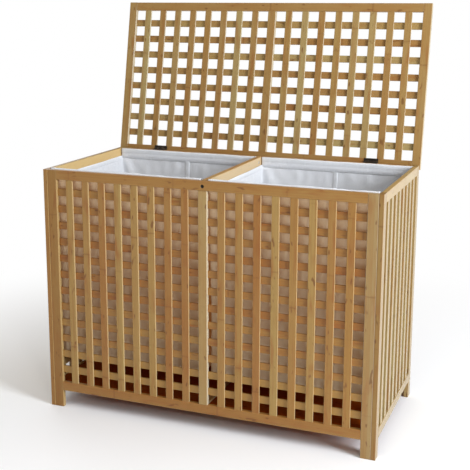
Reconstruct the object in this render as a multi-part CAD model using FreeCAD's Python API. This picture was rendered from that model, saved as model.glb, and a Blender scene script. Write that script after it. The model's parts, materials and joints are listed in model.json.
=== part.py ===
import FreeCAD, Part

import math
import os

# Laundry chest: a bamboo lattice case with two compartments, each with a hanging cloth liner,
# and one lattice lid on two butt hinges. All sizes are in millimetres.
# X runs along the long side, +Y points to the back, +Z points up.
# The model stands as the chest is used: lid open, leaning on its stop.

# ---- case ----
CASE_WIDTH = 730.0
CASE_DEPTH = 350.0
CASE_HEIGHT = 530.0
LEG_HEIGHT = 38.0          # floor to the underside of the bottom rails
FRAME_THICKNESS = 10.0     # of every panel, outer face to inner face
STILE_WIDTH = 21.0
RAIL_HEIGHT = 20.0
CENTRE_STILE_WIDTH = 19.0
FRAME_BEVEL = 0.8

# ---- lattice ----
SLAT_WIDTH = 15.5
SLAT_THICKNESS = 4.5
SLAT_SETBACK = 1.0         # slats sit this far behind the frame's outer face
SLAT_BEVEL = 0.5
FRONT_SLATS_PER_BAY = 8
SIDE_SLATS = 8
CROSS_SLATS = 12
LID_CROSS_SLATS = 8

# ---- lid ----
LID_SIDE_OVERHANG = 2.0
LID_DEPTH = 363.0
LID_RAIL_WIDTH = 19.0
LID_TAIL = 11.0            # hinge pin to the lid's back edge
LID_OPEN_LEAN = 11.0       # degrees past vertical, where the back edge meets the back rail

# ---- hinges ----
HINGE_LENGTH = 32.0
HINGE_BARREL_RADIUS = 2.5
HINGE_PIN_RADIUS = 1.0
HINGE_PIN_CLEARANCE = 0.05
HINGE_LEAF_THICKNESS = 0.9
HINGE_LEAF_GAP = 0.2       # between the two leaves when the lid is shut
HINGE_PIN_SETBACK = 1.3    # pin axis behind the case's back face
HINGE_LID_LEAF_DEPTH = 8.0
HINGE_KNUCKLE_HALF = 5.0   # half the length of the lid leaf's middle knuckle
KNUCKLE_GAP = 0.2
KNUCKLE_RELIEF = 0.3       # air round a barrel in the wood and in the other leaf
HINGE_COLUMN = 2           # lattice gaps between the lid's side rail and the hinge's gap

# ---- screws, bolts and dowels ----
OVERCUT = 1.0              # how far a cutting tool runs past the face it opens
SCREW_RADIUS = 1.2
SCREW_HEAD_RADIUS = 2.2
SCREW_SPACING = 20.0
CASE_SCREW_LENGTH = 12.0
LID_SCREW_LENGTH = 8.0
BOLT_RADIUS = 2.0
BOLT_HEAD_RADIUS = 3.7
BOLT_HEAD_LENGTH = 3.6
BOLT_LENGTH = 33.0
BOLT_HEAD_SINK = 0.6
BOLT_DROP = 1.0            # bolt axis below the middle of the top rail
BOLT_SOCKET_FLATS = 3.0
BOLT_SOCKET_DEPTH = 2.2
BARREL_NUT_RADIUS = 4.0
BARREL_NUT_LENGTH = 11.0
BARREL_NUT_INSET = 22.0    # from the centre rail's end
DOWEL_RADIUS = 2.5
DOWEL_LENGTH = 14.0
CENTRE_DOWEL_LENGTH = 13.8
DOWELS_PER_CORNER = 4
HOLE_CLEARANCE = 0.05

# ---- inside ----
CENTRE_RAIL_THICKNESS = 12.0
CENTRE_RAIL_HEIGHT = 22.0
ROD_THICKNESS = 5.0
ROD_HEIGHT = 18.0
ROD_AXIS_INSET = 14.0      # from the case's face to the middle of a liner rod
ROD_SLOT_WIDTH = 6.0
SIDE_SLOT_DEPTH = 3.5
CENTRE_SLOT_DEPTH = 3.0
ROD_END_PLAY = 0.5
SLOT_FLOOR = 20.0          # below the top of the case
LEDGE_SIZE = 10.0
LEDGE_RISE = 2.0           # above the underside of the bottom rails
FLOOR_THICKNESS = 4.0
FLOOR_PLAY = 0.4

# ---- liners ----
CLOTH_THICKNESS = 1.6
LINER_PLAY = 1.5           # between the liner and the wood beside it
LINER_BOTTOM = 106.0       # above the floor
HEM_DROP = 24.0
HEM_TOP = 1.0              # hem below the top of the case
HEM_WALL = 0.8
ROD_PLAY = 0.1

X_AXIS = FreeCAD.Vector(1, 0, 0)
Y_AXIS = FreeCAD.Vector(0, 1, 0)
Z_AXIS = FreeCAD.Vector(0, 0, 1)
ORIGIN = FreeCAD.Vector(0, 0, 0)

HALF_WIDTH = CASE_WIDTH / 2
INNER_HALF = HALF_WIDTH - FRAME_THICKNESS
PIN_Y = CASE_DEPTH + HINGE_PIN_SETBACK
PIN_RISE = HINGE_LEAF_THICKNESS + HINGE_LEAF_GAP / 2
PIN_Z = CASE_HEIGHT + PIN_RISE
LEAN = math.radians(LID_OPEN_LEAN)

# The lid's upper rear corner is the part's rearmost point, so it sets the middle of the depth.
LID_REACH_Y = (LID_DEPTH - LID_TAIL) * math.sin(LEAN) + (PIN_RISE + FRAME_THICKNESS) * math.cos(LEAN)
MIDDLE_Y = (PIN_Y + LID_REACH_Y) / 2

HOLE_RADIUS = SCREW_RADIUS + HOLE_CLEARANCE
HEAD_HOLE_RADIUS = SCREW_HEAD_RADIUS + HOLE_CLEARANCE
SCREW_XS = (-SCREW_SPACING / 2, SCREW_SPACING / 2)

LID_NAMES = {
    "near_stile": "lid_left_rail",
    "far_stile": "lid_right_rail",
    "bottom_rail": "lid_hinge_rail",
    "top_rail": "lid_front_rail",
    "centre_stile": "lid_centre_rail",
    "upright_slats": "lid_long_slats",
    "cross_slats": "lid_cross_slats",
}

nodes = {}


def add(name, *shapes):
    """Puts closed solids into the named sub-part."""
    nodes.setdefault(name, []).extend(shapes)


def block(low, high):
    """A plain box between two corners."""
    size = [b - a for a, b in zip(low, high)]
    return Part.makeBox(*size, FreeCAD.Vector(*low))


def bar(low, high, along, bevel):
    """A box whose four edges along one axis ("x", "y" or "z") are bevelled."""
    run = "xyz".index(along)
    first, second = [axis for axis in range(3) if axis != run]
    a0, a1 = low[first], high[first]
    b0, b1 = low[second], high[second]
    outline = [
        (a0 + bevel, b0), (a1 - bevel, b0), (a1, b0 + bevel), (a1, b1 - bevel),
        (a1 - bevel, b1), (a0 + bevel, b1), (a0, b1 - bevel), (a0, b0 + bevel),
    ]
    points = []
    for a, b in outline:
        corner = [0.0, 0.0, 0.0]
        corner[first] = a
        corner[second] = b
        corner[run] = low[run]
        points.append(FreeCAD.Vector(*corner))
    face = Part.Face(Part.makePolygon(points + points[:1]))
    push = [0.0, 0.0, 0.0]
    push[run] = high[run] - low[run]
    return face.extrude(FreeCAD.Vector(*push))


def rod(radius, start, end):
    """A round bar between two points."""
    start = FreeCAD.Vector(*start)
    end = FreeCAD.Vector(*end)
    return Part.makeCylinder(radius, (end - start).Length, start, end - start)


def spread(start, end, count, width):
    """Low edges of count equal pieces that stand between two edges with equal gaps."""
    gap = (end - start - count * width) / (count + 1)
    return [start + gap + index * (width + gap) for index in range(count)]


def lattice_panel(width, height, foot, stile, rail, bay_slats, cross_slats, has_centre):
    """A framed lattice in its own frame: outer face at y = 0, thickness towards +y, z up.

    The upright slats are in front and the cross slats are glued behind them.
    "near" is the stile at -x and "far" the one at +x.
    """
    half = width / 2
    deep = FRAME_THICKNESS
    rail_top = foot + rail
    head = height - rail
    parts = {}
    parts["near_stile"] = [bar((-half, 0, 0), (-half + stile, deep, height), "z", FRAME_BEVEL)]
    parts["far_stile"] = [bar((half - stile, 0, 0), (half, deep, height), "z", FRAME_BEVEL)]
    inner = half - stile
    parts["bottom_rail"] = [bar((-inner, 0, foot), (inner, deep, rail_top), "x", FRAME_BEVEL)]
    parts["top_rail"] = [bar((-inner, 0, head), (inner, deep, height), "x", FRAME_BEVEL)]
    bays = [(-inner, inner)]
    if has_centre:
        middle = CENTRE_STILE_WIDTH / 2
        parts["centre_stile"] = [bar((-middle, 0, rail_top), (middle, deep, head), "z", FRAME_BEVEL)]
        bays = [(-inner, -middle), (middle, inner)]
    back_of_uprights = SLAT_SETBACK + SLAT_THICKNESS
    uprights = []
    crosses = []
    for bay_start, bay_end in bays:
        for x in spread(bay_start, bay_end, bay_slats, SLAT_WIDTH):
            low = (x, SLAT_SETBACK, rail_top)
            high = (x + SLAT_WIDTH, back_of_uprights, head)
            uprights.append(bar(low, high, "z", SLAT_BEVEL))
        for z in spread(rail_top, head, cross_slats, SLAT_WIDTH):
            low = (bay_start, back_of_uprights, z)
            high = (bay_end, deep, z + SLAT_WIDTH)
            crosses.append(bar(low, high, "x", SLAT_BEVEL))
    parts["upright_slats"] = uprights
    parts["cross_slats"] = crosses
    return parts


def placed(shape, turn_z, place):
    """A copy turned about the vertical and moved."""
    copy = shape.copy()
    copy.rotate(ORIGIN, Z_AXIS, turn_z)
    copy.translate(FreeCAD.Vector(*place))
    return copy


def add_panel(prefix, stiles, parts, turn_z, place):
    """Adds a panel's pieces; stiles names the ends that its near and far stiles stand at."""
    ends = dict(zip(("near_stile", "far_stile"), stiles))
    for key, shapes in parts.items():
        name = f"{prefix}_{ends[key]}_stile" if key in ends else f"{prefix}_{key}"
        add(name, *[placed(shape, turn_z, place) for shape in shapes])


def cut(name, *tools):
    """Cuts holes and notches in every solid of a sub-part."""
    nodes[name] = [shape.cut(Part.makeCompound(list(tools))) for shape in nodes[name]]


def case_panels():
    long_panel = lattice_panel(
        2 * INNER_HALF, CASE_HEIGHT, LEG_HEIGHT, STILE_WIDTH, RAIL_HEIGHT,
        FRONT_SLATS_PER_BAY, CROSS_SLATS, True,
    )
    short_panel = lattice_panel(
        CASE_DEPTH, CASE_HEIGHT, LEG_HEIGHT, STILE_WIDTH, RAIL_HEIGHT,
        SIDE_SLATS, CROSS_SLATS, False,
    )
    middle = CASE_DEPTH / 2
    add_panel("front", ("left", "right"), long_panel, 0, (0, 0, 0))
    add_panel("back", ("right", "left"), long_panel, 180, (0, CASE_DEPTH, 0))
    add_panel("left_side", ("back", "front"), short_panel, -90, (-HALF_WIDTH, middle, 0))
    add_panel("right_side", ("front", "back"), short_panel, 90, (HALF_WIDTH, middle, 0))


def corner_dowels():
    """Glued dowels join the long panels' stiles to the side panels' stiles."""
    low = LEG_HEIGHT + RAIL_HEIGHT
    step = (CASE_HEIGHT - RAIL_HEIGHT - low) / DOWELS_PER_CORNER
    heights = [low + step * (index + 0.5) for index in range(DOWELS_PER_CORNER)]
    reach = DOWEL_LENGTH / 2
    inset = FRAME_THICKNESS / 2
    for end, y in (("front", inset), ("back", CASE_DEPTH - inset)):
        for hand, sign in (("left", -1), ("right", 1)):
            inside = sign * (INNER_HALF - reach)
            outside = sign * (INNER_HALF + reach)
            deeper = sign * HOLE_CLEARANCE
            holes = []
            for z in heights:
                add("corner_dowels", rod(DOWEL_RADIUS, (inside, y, z), (outside, y, z)))
                hole_start = (inside - deeper, y, z)
                hole_end = (outside + deeper, y, z)
                holes.append(rod(DOWEL_RADIUS + HOLE_CLEARANCE, hole_start, hole_end))
            cut(f"{end}_{hand}_stile", *holes)
            cut(f"{hand}_side_{end}_stile", *holes)


def centre_rails():
    """Two rails tie the front to the back; the upper one parts the compartments."""
    half = CENTRE_RAIL_THICKNESS / 2
    front = FRAME_THICKNESS
    back = CASE_DEPTH - FRAME_THICKNESS
    upper_low = (-half, front, CASE_HEIGHT - CENTRE_RAIL_HEIGHT)
    upper_high = (half, back, CASE_HEIGHT)
    add("centre_top_rail", bar(upper_low, upper_high, "y", FRAME_BEVEL))
    lower_low = (-half, front, LEG_HEIGHT)
    lower_high = (half, back, LEG_HEIGHT + RAIL_HEIGHT)
    add("centre_bottom_rail", bar(lower_low, lower_high, "y", FRAME_BEVEL))
    z = LEG_HEIGHT + RAIL_HEIGHT / 2
    reach = CENTRE_DOWEL_LENGTH / 2
    hole_reach = reach + HOLE_CLEARANCE
    for y, panel in ((front, "front_bottom_rail"), (back, "back_bottom_rail")):
        add("centre_rail_dowels", rod(DOWEL_RADIUS, (0, y - reach, z), (0, y + reach, z)))
        hole = rod(DOWEL_RADIUS + HOLE_CLEARANCE, (0, y - hole_reach, z), (0, y + hole_reach, z))
        cut("centre_bottom_rail", hole)
        cut(panel, hole)


def hexagon(flats, y, z):
    """A six-sided face across the Y axis, given its size over the flats."""
    radius = flats / math.sqrt(3)
    corners = []
    for degrees in (0, 60, 120, 180, 240, 300, 0):
        angle = math.radians(degrees)
        corners.append(FreeCAD.Vector(radius * math.cos(angle), y, z + radius * math.sin(angle)))
    return Part.Face(Part.makePolygon(corners))


def centre_bolts():
    """A socket-head bolt at each end of the upper centre rail, with its barrel nut."""
    z = CASE_HEIGHT - RAIL_HEIGHT / 2 - BOLT_DROP
    nut_half = BARREL_NUT_LENGTH / 2
    nut_hole_half = CENTRE_RAIL_THICKNESS / 2 + OVERCUT
    head_end = BOLT_HEAD_SINK + BOLT_HEAD_LENGTH
    bolt_end = head_end + BOLT_LENGTH
    thread_radius = BOLT_RADIUS + HOLE_CLEARANCE
    counterbore_radius = BOLT_HEAD_RADIUS + HOLE_CLEARANCE
    for panel, face, inward in (("front_top_rail", 0.0, 1), ("back_top_rail", CASE_DEPTH, -1)):
        face_point = (0, face, z)
        outside_point = (0, face - inward * OVERCUT, z)
        head_point = (0, face + inward * BOLT_HEAD_SINK, z)
        shoulder_point = (0, face + inward * head_end, z)
        tip_point = (0, face + inward * bolt_end, z)
        bore_point = (0, face + inward * (bolt_end + OVERCUT), z)
        head = rod(BOLT_HEAD_RADIUS, head_point, shoulder_point)
        shank = rod(BOLT_RADIUS, shoulder_point, tip_point)
        socket_face = hexagon(BOLT_SOCKET_FLATS, face + inward * BOLT_HEAD_SINK, z)
        socket = socket_face.extrude(Y_AXIS * inward * BOLT_SOCKET_DEPTH)
        add("centre_bolts", head.fuse(shank).cut(socket))

        nut_y = face + inward * (FRAME_THICKNESS + BARREL_NUT_INSET)
        nut = rod(BARREL_NUT_RADIUS, (-nut_half, nut_y, z), (nut_half, nut_y, z))
        thread = rod(thread_radius, face_point, bore_point)
        add("barrel_nuts", nut.cut(thread))
        counterbore = rod(counterbore_radius, outside_point, shoulder_point)
        cut(panel, counterbore, thread)
        nut_radius = BARREL_NUT_RADIUS + HOLE_CLEARANCE
        nut_hole = rod(nut_radius, (-nut_hole_half, nut_y, z), (nut_hole_half, nut_y, z))
        cut("centre_top_rail", nut_hole, thread)


def rod_slots():
    """Open-topped slots that the ends of the liner rods drop into."""
    floor = CASE_HEIGHT - SLOT_FLOOR
    top = CASE_HEIGHT + OVERCUT
    half = ROD_SLOT_WIDTH / 2
    centre_half = CENTRE_RAIL_THICKNESS / 2
    web = centre_half - CENTRE_SLOT_DEPTH
    outside = centre_half + OVERCUT
    deep = INNER_HALF + SIDE_SLOT_DEPTH
    mouth = INNER_HALF - OVERCUT
    for end, y in (("front", ROD_AXIS_INSET), ("back", CASE_DEPTH - ROD_AXIS_INSET)):
        left_slot = block((-deep, y - half, floor), (-mouth, y + half, top))
        right_slot = block((mouth, y - half, floor), (deep, y + half, top))
        cut(f"left_side_{end}_stile", left_slot)
        cut(f"right_side_{end}_stile", right_slot)
        # in the centre rail the slots run out through the rail's end
        reach = FRAME_THICKNESS - OVERCUT
        near = reach if end == "front" else y - half
        far = y + half if end == "front" else CASE_DEPTH - reach
        left_notch = block((-outside, near, floor), (-web, far, top))
        right_notch = block((web, near, floor), (outside, far, top))
        cut("centre_top_rail", left_notch, right_notch)


def liner_rods():
    """Flat wooden rods that carry the liners' front and back hems."""
    outer = INNER_HALF + SIDE_SLOT_DEPTH - ROD_END_PLAY
    inner = CENTRE_RAIL_THICKNESS / 2 - CENTRE_SLOT_DEPTH + ROD_END_PLAY
    bottom = CASE_HEIGHT - SLOT_FLOOR
    half = ROD_THICKNESS / 2
    for side, sign in (("left", -1), ("right", 1)):
        x_low = min(sign * outer, sign * inner)
        x_high = max(sign * outer, sign * inner)
        for end, y in (("front", ROD_AXIS_INSET), ("back", CASE_DEPTH - ROD_AXIS_INSET)):
            low = (x_low, y - half, bottom)
            high = (x_high, y + half, bottom + ROD_HEIGHT)
            add(f"liner_rod_{side}_{end}", bar(low, high, "x", SLAT_BEVEL))


def floor_boards():
    """Two loose boards on ledges close the bottom."""
    rail_half = CENTRE_RAIL_THICKNESS / 2
    ledge_bottom = LEG_HEIGHT + LEDGE_RISE
    ledge_top = ledge_bottom + LEDGE_SIZE
    front = FRAME_THICKNESS
    back = CASE_DEPTH - FRAME_THICKNESS
    for side, sign in (("left", -1), ("right", 1)):
        x_low = min(sign * INNER_HALF, sign * rail_half)
        x_high = max(sign * INNER_HALF, sign * rail_half)
        for y in (front, back - LEDGE_SIZE):
            low = (x_low, y, ledge_bottom)
            high = (x_high, y + LEDGE_SIZE, ledge_top)
            add("floor_ledges", bar(low, high, "x", SLAT_BEVEL))
        low = (x_low + FLOOR_PLAY, front + FLOOR_PLAY, ledge_top)
        high = (x_high - FLOOR_PLAY, back - FLOOR_PLAY, ledge_top + FLOOR_THICKNESS)
        add(f"floor_board_{side}", block(low, high))


def liners():
    """Open bags of sewn cloth panels that hang from their rods by hem sleeves."""
    hem_top = CASE_HEIGHT - HEM_TOP
    hem_low = hem_top - HEM_DROP
    half_wall = CLOTH_THICKNESS / 2
    pocket_half = ROD_THICKNESS / 2 + ROD_PLAY
    hem_half = pocket_half + HEM_WALL
    pocket_low = CASE_HEIGHT - SLOT_FLOOR - ROD_PLAY
    pocket_high = pocket_low + ROD_HEIGHT + 2 * ROD_PLAY
    outer = INNER_HALF - LINER_PLAY
    inner = CENTRE_RAIL_THICKNESS / 2 + LINER_PLAY
    near = ROD_AXIS_INSET + half_wall
    far = CASE_DEPTH - near
    for name, x_low, x_high in (("liner_left", -outer, -inner), ("liner_right", inner, outer)):
        for y in (ROD_AXIS_INSET, CASE_DEPTH - ROD_AXIS_INSET):
            sleeve = block((x_low, y - hem_half, hem_low), (x_high, y + hem_half, hem_top))
            low = (x_low - OVERCUT, y - pocket_half, pocket_low)
            high = (x_high + OVERCUT, y + pocket_half, pocket_high)
            add(name, sleeve.cut(block(low, high)))
            low = (x_low, y - half_wall, LINER_BOTTOM)
            add(name, block(low, (x_high, y + half_wall, hem_low)))
        in_low = x_low + CLOTH_THICKNESS
        in_high = x_high - CLOTH_THICKNESS
        add(name, block((x_low, near, LINER_BOTTOM), (in_low, far, hem_low)))
        add(name, block((in_high, near, LINER_BOTTOM), (x_high, far, hem_low)))
        bottom_top = LINER_BOTTOM + CLOTH_THICKNESS
        add(name, block((in_low, near, LINER_BOTTOM), (in_high, far, bottom_top)))


def lid_hinge_x():
    """Distance of each hinge from the middle: on the middle of a gap of the lid's lattice."""
    half = HALF_WIDTH + LID_SIDE_OVERHANG
    bay = half - LID_RAIL_WIDTH - CENTRE_STILE_WIDTH / 2
    gap = (bay - FRONT_SLATS_PER_BAY * SLAT_WIDTH) / (FRONT_SLATS_PER_BAY + 1)
    return half - LID_RAIL_WIDTH - HINGE_COLUMN * (gap + SLAT_WIDTH) - gap / 2


def screw(radius, head_radius, length):
    """A countersunk screw pointing down, its head's flat top at z = 0."""
    head = Part.makeCone(radius, head_radius, head_radius - radius, ORIGIN)
    head.translate(FreeCAD.Vector(0, 0, radius - head_radius))
    shank = rod(radius, (0, 0, -length), (0, 0, radius - head_radius))
    return head.fuse(shank)


def moved(shape, x, y, z):
    copy = shape.copy()
    copy.translate(FreeCAD.Vector(x, y, z))
    return copy


def open_lid(shape):
    """Takes a shape from the lid's own frame, pin on the X axis, to the open lid."""
    copy = shape.copy()
    copy.rotate(ORIGIN, X_AXIS, -LID_OPEN_LEAN)
    copy.translate(FreeCAD.Vector(0, PIN_Y, PIN_Z))
    return copy


def hinge_leaf(plate, knuckles, clear_spans, screw_holes):
    """A leaf about its pin, which lies on the X axis."""
    relief = HINGE_BARREL_RADIUS + KNUCKLE_RELIEF
    for start, end in clear_spans:
        plate = plate.cut(rod(relief, (start, 0, 0), (end, 0, 0)))
    leaf = plate
    for start, end in knuckles:
        leaf = leaf.fuse(rod(HINGE_BARREL_RADIUS, (start, 0, 0), (end, 0, 0)))
    end = HINGE_LENGTH / 2 + OVERCUT
    bore = rod(HINGE_PIN_RADIUS + HINGE_PIN_CLEARANCE, (-end, 0, 0), (end, 0, 0))
    return leaf.cut(bore).cut(Part.makeCompound(screw_holes))


def case_leaf_parts():
    """Leaf, screws and screw holes on the back rail's top face, in the pin's frame."""
    half = HINGE_LENGTH / 2
    knuckle_end = HINGE_KNUCKLE_HALF + KNUCKLE_GAP
    leaf_top = HINGE_LEAF_THICKNESS - PIN_RISE
    rail_front = -HINGE_PIN_SETBACK - FRAME_THICKNESS
    screw_y = rail_front + FRAME_THICKNESS / 2
    screw_shape = screw(SCREW_RADIUS, SCREW_HEAD_RADIUS, CASE_SCREW_LENGTH)
    hole_shape = screw(HOLE_RADIUS, HEAD_HOLE_RADIUS, CASE_SCREW_LENGTH + OVERCUT)
    screws = [moved(screw_shape, x, screw_y, leaf_top) for x in SCREW_XS]
    holes = [moved(hole_shape, x, screw_y, leaf_top) for x in SCREW_XS]
    plate = block((-half, rail_front, -PIN_RISE), (half, 0, leaf_top))
    knuckles = [(-half, -knuckle_end), (knuckle_end, half)]
    leaf = hinge_leaf(plate, knuckles, [(-knuckle_end, knuckle_end)], holes)
    return leaf, screws, holes


def lid_leaf_parts():
    """Leaf, screws and screw holes on the lid's underside, in the lid's own frame."""
    half = HINGE_LENGTH / 2
    knuckle = HINGE_KNUCKLE_HALF
    leaf_face = PIN_RISE - HINGE_LEAF_THICKNESS
    screw_z = (HINGE_LID_LEAF_DEPTH + HINGE_BARREL_RADIUS) / 2
    screw_shape = screw(SCREW_RADIUS, SCREW_HEAD_RADIUS, LID_SCREW_LENGTH)
    hole_shape = screw(HOLE_RADIUS, HEAD_HOLE_RADIUS, LID_SCREW_LENGTH + OVERCUT)
    for shape in (screw_shape, hole_shape):
        shape.rotate(ORIGIN, X_AXIS, 90)
    screws = [moved(screw_shape, x, leaf_face, screw_z) for x in SCREW_XS]
    holes = [moved(hole_shape, x, leaf_face, screw_z) for x in SCREW_XS]
    plate = block((-half, leaf_face, 0), (half, PIN_RISE, HINGE_LID_LEAF_DEPTH))
    outer_spans = [(-half - OVERCUT, -knuckle), (knuckle, half + OVERCUT)]
    leaf = hinge_leaf(plate, [(-knuckle, knuckle)], outer_spans, holes)
    return leaf, screws, holes


def lid_lattice():
    """The lid in its own frame: standing on its back edge, upper face at the back."""
    lid = lattice_panel(
        CASE_WIDTH + 2 * LID_SIDE_OVERHANG, LID_DEPTH, 0, LID_RAIL_WIDTH, LID_RAIL_WIDTH,
        FRONT_SLATS_PER_BAY, LID_CROSS_SLATS, True,
    )
    for key, shapes in lid.items():
        add(LID_NAMES[key], *[moved(shape, 0, PIN_RISE, -LID_TAIL) for shape in shapes])


def hinges_and_lid():
    half = HINGE_LENGTH / 2
    gain_half = half + KNUCKLE_RELIEF
    relief = HINGE_BARREL_RADIUS + KNUCKLE_RELIEF
    case_gain = block((-gain_half, -relief, -relief), (gain_half, OVERCUT, OVERCUT - PIN_RISE))
    lid_gain = block((-gain_half, 0, -relief), (gain_half, relief, relief))
    case_leaf, case_screws, case_holes = case_leaf_parts()
    lid_leaf, lid_screws, lid_holes = lid_leaf_parts()
    lid_lattice()
    for side, x in (("left", -lid_hinge_x()), ("right", lid_hinge_x())):
        cut("lid_hinge_rail", *[moved(shape, x, 0, 0) for shape in [lid_gain, *lid_holes]])
        cut("back_top_rail", *[moved(shape, x, PIN_Y, PIN_Z) for shape in [case_gain, *case_holes]])
        add(f"hinge_{side}_case_leaf", moved(case_leaf, x, PIN_Y, PIN_Z))
        add(f"hinge_{side}_lid_leaf", moved(lid_leaf, x, 0, 0))
        pin = rod(HINGE_PIN_RADIUS, (x - half, PIN_Y, PIN_Z), (x + half, PIN_Y, PIN_Z))
        add(f"hinge_{side}_pin", pin)
        add("hinge_case_screws", *[moved(shape, x, PIN_Y, PIN_Z) for shape in case_screws])
        add("hinge_lid_screws", *[moved(shape, x, 0, 0) for shape in lid_screws])
    for name in (*LID_NAMES.values(), "hinge_left_lid_leaf", "hinge_right_lid_leaf", "hinge_lid_screws"):
        nodes[name] = [open_lid(shape) for shape in nodes[name]]


def main():
    case_panels()
    centre_rails()
    centre_bolts()
    corner_dowels()
    rod_slots()
    liner_rods()
    floor_boards()
    liners()
    hinges_and_lid()
    os.makedirs("parts", exist_ok=True)
    for name, shapes in nodes.items():
        solids = [solid for shape in shapes for solid in shape.Solids]
        shape = solids[0] if len(solids) == 1 else Part.makeCompound(solids)
        shape.translate(FreeCAD.Vector(0, -MIDDLE_Y, 0))
        shape.exportStep(f"parts/{name}.step")
    print(len(nodes), "sub-parts")


main()
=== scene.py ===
import json
import math
import random

import bmesh
import bpy
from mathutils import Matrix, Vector
from mathutils.bvhtree import BVHTree


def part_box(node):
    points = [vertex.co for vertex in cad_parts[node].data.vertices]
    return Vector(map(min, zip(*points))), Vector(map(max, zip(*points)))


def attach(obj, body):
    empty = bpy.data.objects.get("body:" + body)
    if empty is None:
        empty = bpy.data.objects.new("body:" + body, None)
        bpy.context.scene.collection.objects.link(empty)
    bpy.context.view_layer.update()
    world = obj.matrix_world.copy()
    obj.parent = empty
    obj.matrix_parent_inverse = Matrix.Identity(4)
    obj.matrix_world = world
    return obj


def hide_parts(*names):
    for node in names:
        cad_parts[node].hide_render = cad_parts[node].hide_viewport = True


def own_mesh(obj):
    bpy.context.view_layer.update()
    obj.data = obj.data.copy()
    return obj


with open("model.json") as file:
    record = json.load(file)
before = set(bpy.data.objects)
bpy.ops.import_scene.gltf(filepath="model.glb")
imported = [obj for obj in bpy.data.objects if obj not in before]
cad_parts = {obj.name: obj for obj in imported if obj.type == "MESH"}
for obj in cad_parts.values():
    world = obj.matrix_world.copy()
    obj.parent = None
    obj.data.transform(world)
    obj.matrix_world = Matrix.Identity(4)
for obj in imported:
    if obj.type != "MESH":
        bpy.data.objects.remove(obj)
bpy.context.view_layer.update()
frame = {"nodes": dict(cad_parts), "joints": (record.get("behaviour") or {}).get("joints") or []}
nodes = frame["nodes"]
joint = frame["joints"][0]

LID_LEAN = math.radians(11)
PIN = Vector(joint["pos_m"])
SLAT_WIDTH = 0.0155
SIDE_SLATS = 8
CROSS_SLATS = 12
LID_CROSS_SLATS = 8


# ---------------------------------------------------------------- shader helpers
class Graph:
    """Short ways to add shader nodes to one material; most give the new node's output socket."""

    def __init__(self, name):
        self.material = bpy.data.materials.new(name)
        self.material.use_nodes = True
        self.tree = self.material.node_tree
        self.shader = self.tree.nodes["Principled BSDF"]

    def put(self, socket, value):
        """Links a socket to the input, or sets a plain number or colour on it."""
        if isinstance(value, bpy.types.NodeSocket):
            self.tree.links.new(value, socket)
        elif value is not None:
            if socket.type == "RGBA" and len(value) == 3:
                value = (*value, 1.0)
            socket.default_value = value

    def node(self, kind, *inputs, **settings):
        """Adds one node and gives the node itself; None leaves an input as it is."""
        made = self.tree.nodes.new("ShaderNode" + kind)
        for key, value in settings.items():
            setattr(made, key, value)
        for socket, value in zip(made.inputs, inputs):
            self.put(socket, value)
        return made

    def math(self, operation, *inputs):
        return self.node("Math", *inputs, operation=operation).outputs[0]

    def times(self, value, factor):
        return self.math("MULTIPLY", value, factor)

    def vector(self, operation, *inputs):
        return self.node("VectorMath", *inputs, operation=operation).outputs[0]

    def combine(self, x, y, z):
        return self.node("CombineXYZ", x, y, z).outputs[0]

    def split(self, vector):
        return self.node("SeparateXYZ", vector).outputs

    def noise(self, vector, scale=1.0, detail=3.0, roughness=0.5, distortion=0.0):
        made = self.node("TexNoise", noise_dimensions="3D")
        self.put(made.inputs["Vector"], vector)
        self.put(made.inputs["Scale"], scale)
        self.put(made.inputs["Detail"], detail)
        self.put(made.inputs["Roughness"], roughness)
        self.put(made.inputs["Distortion"], distortion)
        return made.outputs[0]

    def hashed(self, vector):
        """Three random numbers that are the same wherever the vector is."""
        made = self.node("TexWhiteNoise", noise_dimensions="3D")
        self.put(made.inputs["Vector"], vector)
        return self.split(made.outputs["Color"])

    def remap(self, value, low, high, to_low=0.0, to_high=1.0):
        made = self.node("MapRange", value, low, high, to_low, to_high)
        return made.outputs[0]

    def mix(self, factor, first, second):
        made = self.node("Mix", data_type="RGBA")
        self.put(made.inputs[0], factor)
        self.put(made.inputs[6], first)
        self.put(made.inputs[7], second)
        return made.outputs[2]

    def bump(self, height, strength, distance):
        made = self.node("Bump")
        self.put(made.inputs["Strength"], strength)
        self.put(made.inputs["Distance"], distance)
        self.put(made.inputs["Height"], height)
        self.put(self.shader.inputs["Normal"], made.outputs[0])

    def set(self, **values):
        """Sets the shader's inputs by name."""
        for key, value in values.items():
            self.put(self.shader.inputs[key.replace("_", " ")], value)


# ---------------------------------------------------------------- bamboo
PLAIN = (1.0, 1.0, 1.0)
GOLDEN = (0.345, 0.179, 0.041)
BROWN = (0.308, 0.126, 0.025)
RUST = (0.285, 0.098, 0.018)
STRAW = (0.385, 0.252, 0.077)
DEEP = (0.150, 0.048, 0.010)
# Painted highlights: faces that look left or right are painted paler, where the light from the right falls
# on them.
SIDE_FACE_PAINTED_HIGHLIGHT = (0.580, 0.440, 0.235)   # side faces, where nothing else is said
# painted light on the centre rails' side faces, and on each side panel's faces that look left or right
CENTRE_RAIL_PAINTED_HIGHLIGHT = (0.700, 0.570, 0.350)
SIDE_PANEL_PAINTED_LIGHT = {"left_side": (0.850, 0.600, 0.260), "right_side": (0.422, 0.332, 0.208)}
CROSS_TINT = (0.98, 0.86, 0.72)
# the side panels' cross slats are painted darker: painted shade, as they lie deep behind their uprights
SIDE_CROSS_PAINTED_SHADE = (0.75, 0.85, 0.90)
# the side panels' frames and uprights are paler: partly paler bamboo, partly painted sheen from the light on
# the right
SIDE_PALE_AND_SHEEN_TINT = (0.98, 1.30, 1.90)
# the floor boards are dark red-brown: partly their tone, partly painted shade under the liners
FLOOR_BOARD_TONE_AND_SHADE_TINT = (0.85, 0.38, 0.18)
PALE_TINT = (1.06, 1.30, 1.80)
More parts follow.
